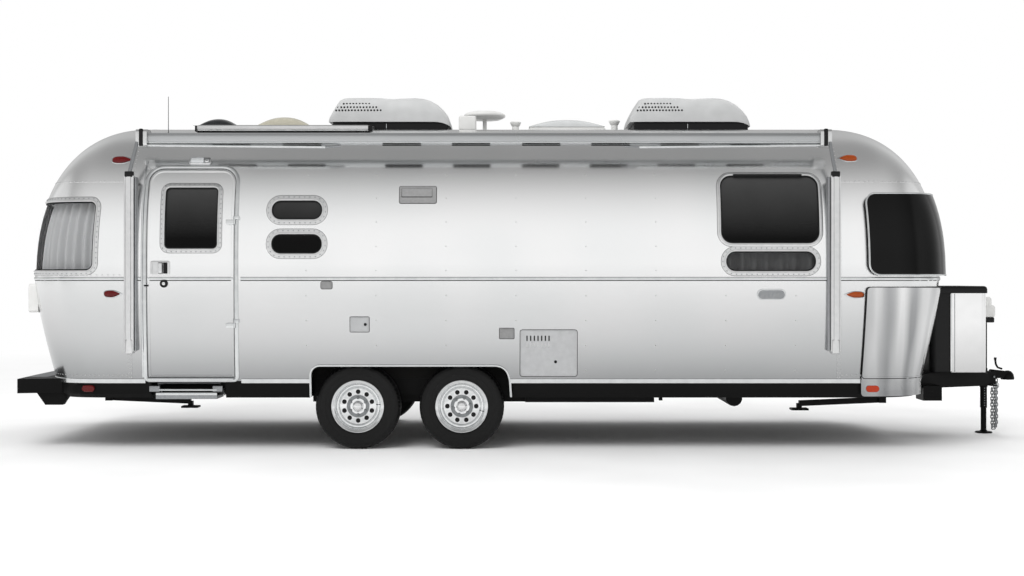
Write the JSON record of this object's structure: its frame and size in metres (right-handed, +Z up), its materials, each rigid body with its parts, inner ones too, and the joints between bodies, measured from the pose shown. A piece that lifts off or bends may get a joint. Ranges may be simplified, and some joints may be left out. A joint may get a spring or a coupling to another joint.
{
  "type": "travel caravan",
  "caption": "Riveted aluminium travel caravan with rounded ends, twin axles, entry door, awning, roof units and a tongue jack.",
  "frame": {"origin": "on the ground, on the body's centre plane, midway between the bumper and the coupler's tip", "axes": "+X towards the towing end, +Y towards the street side (the entry door faces -Y), +Z up"},
  "size_m": [8.533, 2.6717, 2.972],
  "materials": {
    "aluminium_skin": "bare satin sheet",
    "bright_aluminium": "polished",
    "brushed_guard": "brushed stainless sheet",
    "grey_step": "grey paint",
    "black_frame": "satin black paint",
    "white_plastic": "moulded plastic",
    "black_plastic": "moulded plastic",
    "smoke_plastic": "smoked",
    "grey_plastic": "moulded plastic",
    "tinted_glass": "tinted",
    "tinted_guard": "smoked acrylic",
    "floor_board": "sealed board",
    "tyre_rubber": "black",
    "zinc": "zinc plated",
    "solar_glass": "dark cells in a bright frame"
  },
  "bodies": {
    "caravan": {"a_frame": "black_frame", "air_unit_front": "white_plastic", "air_unit_rear": "white_plastic", "awning_arm_front": "bright_aluminium", "awning_arm_rear": "bright_aluminium", "awning_roller": "bright_aluminium", "axle_front": "black_frame", "axle_rear": "black_frame", "bumper": "black_frame", "cap_front": "aluminium_skin", "cap_rear": "aluminium_skin", "coupler": "black_frame", "disc_antenna": "white_plastic", "floor": "floor_board", "front_glass": "tinted_glass", "gas_cover": "bright_aluminium", "guard_curb": "tinted_guard", "guard_street": "tinted_guard", "jack_post": "white_plastic", "oval_lower_curb": "tinted_glass", "oval_upper_curb": "tinted_glass", "rear_glass_curb": "tinted_glass", "rear_glass_middle": "tinted_glass", "rear_glass_street": "tinted_glass", "roof": "aluminium_skin", "roof_vent_mid": "grey_plastic", "roof_vent_rear": "smoke_plastic", "skylight": "grey_plastic", "solar_panel": "solar_glass", "stone_guard_curb": "brushed_guard", "stone_guard_street": "brushed_guard", "underframe": "black_frame", "underframe_rear": "black_frame", "wall_curb": "aluminium_skin", "wall_street": "aluminium_skin", "whip_antenna": "black_plastic", "window_low_curb": "tinted_glass", "window_low_street": "tinted_glass", "window_main_curb": "tinted_glass", "window_main_street": "tinted_glass"},
    "wheel_rear_curb": {"rim_rear_curb": "bright_aluminium", "tyre_rear_curb": "tyre_rubber"},
    "wheel_rear_street": {"rim_rear_street": "bright_aluminium", "tyre_rear_street": "tyre_rubber"},
    "wheel_front_curb": {"rim_front_curb": "bright_aluminium", "tyre_front_curb": "tyre_rubber"},
    "wheel_front_street": {"rim_front_street": "bright_aluminium", "tyre_front_street": "tyre_rubber"},
    "door": {"door_leaf": "aluminium_skin", "door_glass": "tinted_glass"},
    "jack_leg": {"jack_leg": "zinc"},
    "step_arms": {"step_arms": "grey_step"},
    "step_tread": {"step_tread": "grey_step"},
    "stabiliser_front_curb": {"stabiliser_front_curb": "black_frame"},
    "stabiliser_front_street": {"stabiliser_front_street": "black_frame"},
    "stabiliser_rear_curb": {"stabiliser_rear_curb": "black_frame"},
    "stabiliser_rear_street": {"stabiliser_rear_street": "black_frame"},
    "bumper_lid": {"bumper_lid": "bright_aluminium"},
    "guard_middle": {"guard_middle": "tinted_guard"},
    "gas_lid": {"gas_lid": "black_plastic"}
  },
  "joints": [
    {"name": "wheel_rear_curb_spin", "type": "hinge", "parent": "caravan", "child": "wheel_rear_curb", "pos_m": [-1.476, -1.105, 0.343], "axis": [0, 1, 0], "continuous": true},
    {"name": "wheel_rear_street_spin", "type": "hinge", "parent": "caravan", "child": "wheel_rear_street", "pos_m": [-1.476, 1.105, 0.343], "axis": [0, 1, 0], "continuous": true},
    {"name": "wheel_front_curb_spin", "type": "hinge", "parent": "caravan", "child": "wheel_front_curb", "pos_m": [-0.635, -1.105, 0.343], "axis": [0, 1, 0], "continuous": true},
    {"name": "wheel_front_street_spin", "type": "hinge", "parent": "caravan", "child": "wheel_front_street", "pos_m": [-0.635, 1.105, 0.343], "axis": [0, 1, 0], "continuous": true},
    {"name": "door_hinge", "type": "hinge", "parent": "caravan", "child": "door", "pos_m": [-2.452, -1.301, 1.4], "axis": [0, 0, 1], "range_deg": [0, 165]},
    {"name": "jack_slide", "type": "slide", "parent": "caravan", "child": "jack_leg", "axis": [0, 0, 1], "range_m": [0, 0.18]},
    {"name": "step_fold", "type": "hinge", "parent": "caravan", "child": "step_arms", "pos_m": [-2.855, -1.1, 0.528], "axis": [-1, 0, 0], "range_deg": [0, 90]},
    {"name": "step_level", "type": "hinge", "parent": "step_arms", "child": "step_tread", "pos_m": [-2.855, -0.96484, 0.43336], "axis": [-1, 0, 0], "range_deg": [-90, 0]},
    {"name": "stabiliser_front_curb_drop", "type": "hinge", "parent": "caravan", "child": "stabiliser_front_curb", "pos_m": [2.83, -0.92, 0.375], "axis": [0, -1, 0], "range_deg": [0, 23]},
    {"name": "stabiliser_front_street_drop", "type": "hinge", "parent": "caravan", "child": "stabiliser_front_street", "pos_m": [2.83, 0.92, 0.375], "axis": [0, -1, 0], "range_deg": [0, 23]},
    {"name": "stabiliser_rear_curb_drop", "type": "hinge", "parent": "caravan", "child": "stabiliser_rear_curb", "pos_m": [-3.62, -0.7, 0.375], "axis": [0, 1, 0], "range_deg": [0, 23]},
    {"name": "stabiliser_rear_street_drop", "type": "hinge", "parent": "caravan", "child": "stabiliser_rear_street", "pos_m": [-3.62, 0.7, 0.375], "axis": [0, 1, 0], "range_deg": [0, 23]},
    {"name": "bumper_lid_hinge", "type": "hinge", "parent": "caravan", "child": "bumper_lid", "pos_m": [-4.082, 0, 0.564], "axis": [0, 1, 0], "range_deg": [0, 60]},
    {"name": "guard_hinge", "type": "hinge", "parent": "caravan", "child": "guard_middle", "pos_m": [3.31872, 0, 2.06], "axis": [0, -1, 0], "range_deg": [0, 75]},
    {"name": "gas_lid_hinge", "type": "hinge", "parent": "caravan", "child": "gas_lid", "pos_m": [3.405, 0, 1.313], "axis": [0, -1, 0], "range_deg": [0, 60]}
  ],
  "couplings": [
    {"joint": "step_level", "follows": "step_fold", "ratio": -1}
  ]
}
